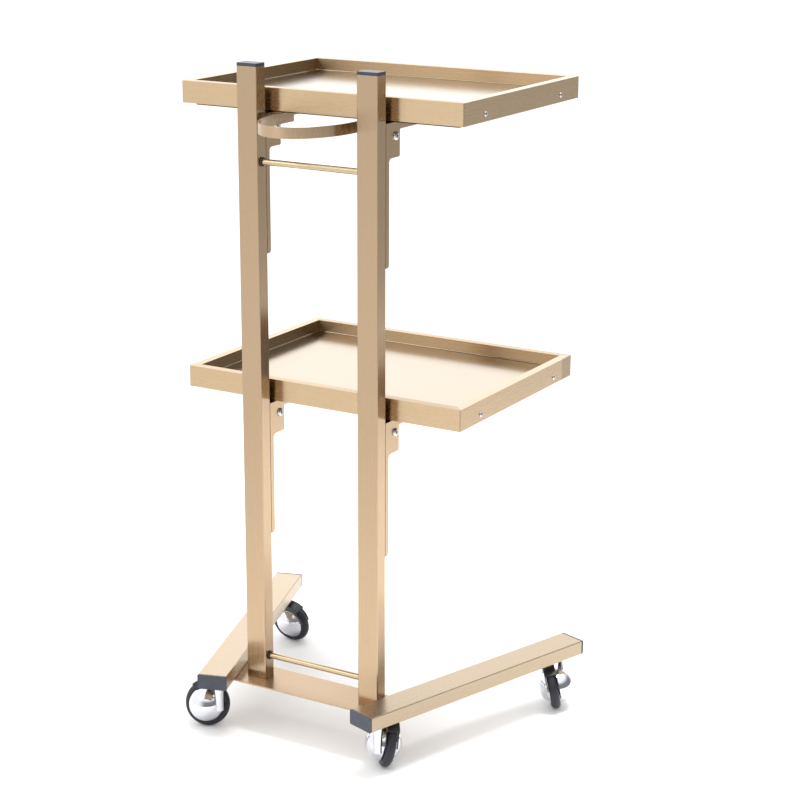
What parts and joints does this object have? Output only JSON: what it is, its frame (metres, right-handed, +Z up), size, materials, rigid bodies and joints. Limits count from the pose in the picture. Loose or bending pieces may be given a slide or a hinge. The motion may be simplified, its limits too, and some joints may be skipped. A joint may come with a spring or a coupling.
{
  "type": "rolling salon trolley",
  "caption": "Slim salon trolley: open uprights on splayed legs, swivel ball casters, shelf trays with raised rims and a loop that holds a hair dryer.",
  "frame": {"origin": "centre of the footprint at floor level, under the tyres", "axes": "+Z up, -Y towards the uprights and the dryer loop, +Y towards the far edge of the trays, X left to right"},
  "size_m": [0.5148, 0.4108, 0.8966],
  "materials": {
    "brushed_gold": "satin champagne-gold plated steel with a fine straight grain",
    "tray_gold": "glossier champagne-gold sheet",
    "polished_gold": "polished gold",
    "slate_plastic": "fine matt, blue-black",
    "black_plastic": "satin moulded",
    "chrome": "polished",
    "plain_steel": "zinc plated",
    "tyre_rubber": "smooth dark tread"
  },
  "bodies": {
    "frame": {"left_leg": "brushed_gold", "right_leg": "brushed_gold", "left_leg_front_cap": "slate_plastic", "left_leg_rear_cap": "slate_plastic", "right_leg_front_cap": "slate_plastic", "right_leg_rear_cap": "slate_plastic", "base_plate": "brushed_gold", "left_upright": "brushed_gold", "right_upright": "brushed_gold", "left_upright_cap": "slate_plastic", "right_upright_cap": "slate_plastic", "upper_tie_rod": "polished_gold", "lower_tie_rod": "polished_gold", "tie_rod_collars": "black_plastic", "dryer_holder": "brushed_gold", "upper_left_bracket": "brushed_gold", "upper_right_bracket": "brushed_gold", "lower_left_bracket": "brushed_gold", "lower_right_bracket": "brushed_gold", "bracket_bolts": "chrome", "bracket_nuts": "chrome", "upper_tray_rim": "brushed_gold", "upper_tray_pan": "tray_gold", "upper_tray_base": "brushed_gold", "upper_tray_screws": "chrome", "lower_tray_rim": "brushed_gold", "lower_tray_pan": "tray_gold", "lower_tray_base": "brushed_gold", "lower_tray_screws": "chrome", "front_left_caster_socket": "plain_steel", "front_right_caster_socket": "plain_steel", "rear_left_caster_socket": "plain_steel", "rear_right_caster_socket": "plain_steel"},
    "front_left_swivel": {"front_left_caster_stem": "plain_steel", "front_left_caster_hood": "chrome", "front_left_caster_fender": "black_plastic", "front_left_caster_axle": "plain_steel"},
    "front_left_wheel": {"front_left_caster_wheel": "chrome", "front_left_caster_tyre": "tyre_rubber"},
    "front_right_swivel": {"front_right_caster_stem": "plain_steel", "front_right_caster_hood": "chrome", "front_right_caster_fender": "black_plastic", "front_right_caster_axle": "plain_steel"},
    "front_right_wheel": {"front_right_caster_wheel": "chrome", "front_right_caster_tyre": "tyre_rubber"},
    "rear_left_swivel": {"rear_left_caster_stem": "plain_steel", "rear_left_caster_hood": "chrome", "rear_left_caster_fender": "black_plastic", "rear_left_caster_axle": "plain_steel"},
    "rear_left_wheel": {"rear_left_caster_wheel": "chrome", "rear_left_caster_tyre": "tyre_rubber"},
    "rear_right_swivel": {"rear_right_caster_stem": "plain_steel", "rear_right_caster_hood": "chrome", "rear_right_caster_fender": "black_plastic", "rear_right_caster_axle": "plain_steel"},
    "rear_right_wheel": {"rear_right_caster_wheel": "chrome", "rear_right_caster_tyre": "tyre_rubber"}
  },
  "joints": [
    {"name": "front_left_swivel_turn", "type": "hinge", "parent": "frame", "child": "front_left_swivel", "pos_m": [-0.12599, -0.17067, 0.0706], "axis": [0, 0, 1], "continuous": true},
    {"name": "front_left_wheel_roll", "type": "hinge", "parent": "front_left_swivel", "child": "front_left_wheel", "pos_m": [-0.15016, -0.16324, 0.03047], "axis": [0.3505, -0.9132, 0.2079], "continuous": true},
    {"name": "front_right_swivel_turn", "type": "hinge", "parent": "frame", "child": "front_right_swivel", "pos_m": [0.12475, -0.17067, 0.0706], "axis": [0, 0, 1], "continuous": true},
    {"name": "front_right_wheel_roll", "type": "hinge", "parent": "front_right_swivel", "child": "front_right_wheel", "pos_m": [0.12435, -0.14539, 0.03047], "axis": [-0.7602, -0.6156, 0.2079], "continuous": true},
    {"name": "rear_left_swivel_turn", "type": "hinge", "parent": "frame", "child": "rear_left_swivel", "pos_m": [-0.23172, 0.1509, 0.0706], "axis": [0, 0, 1], "continuous": true},
    {"name": "rear_left_wheel_roll", "type": "hinge", "parent": "rear_left_swivel", "child": "rear_left_wheel", "pos_m": [-0.21209, 0.13495, 0.03047], "axis": [0.0171, 0.978, 0.2079], "continuous": true},
    {"name": "rear_right_swivel_turn", "type": "hinge", "parent": "frame", "child": "rear_right_swivel", "pos_m": [0.23048, 0.1509, 0.0706], "axis": [0, 0, 1], "continuous": true},
    {"name": "rear_right_wheel_roll", "type": "hinge", "parent": "rear_right_swivel", "child": "rear_right_wheel", "pos_m": [0.22867, 0.12567, 0.03047], "axis": [0.8109, 0.547, 0.2079], "continuous": true}
  ]
}
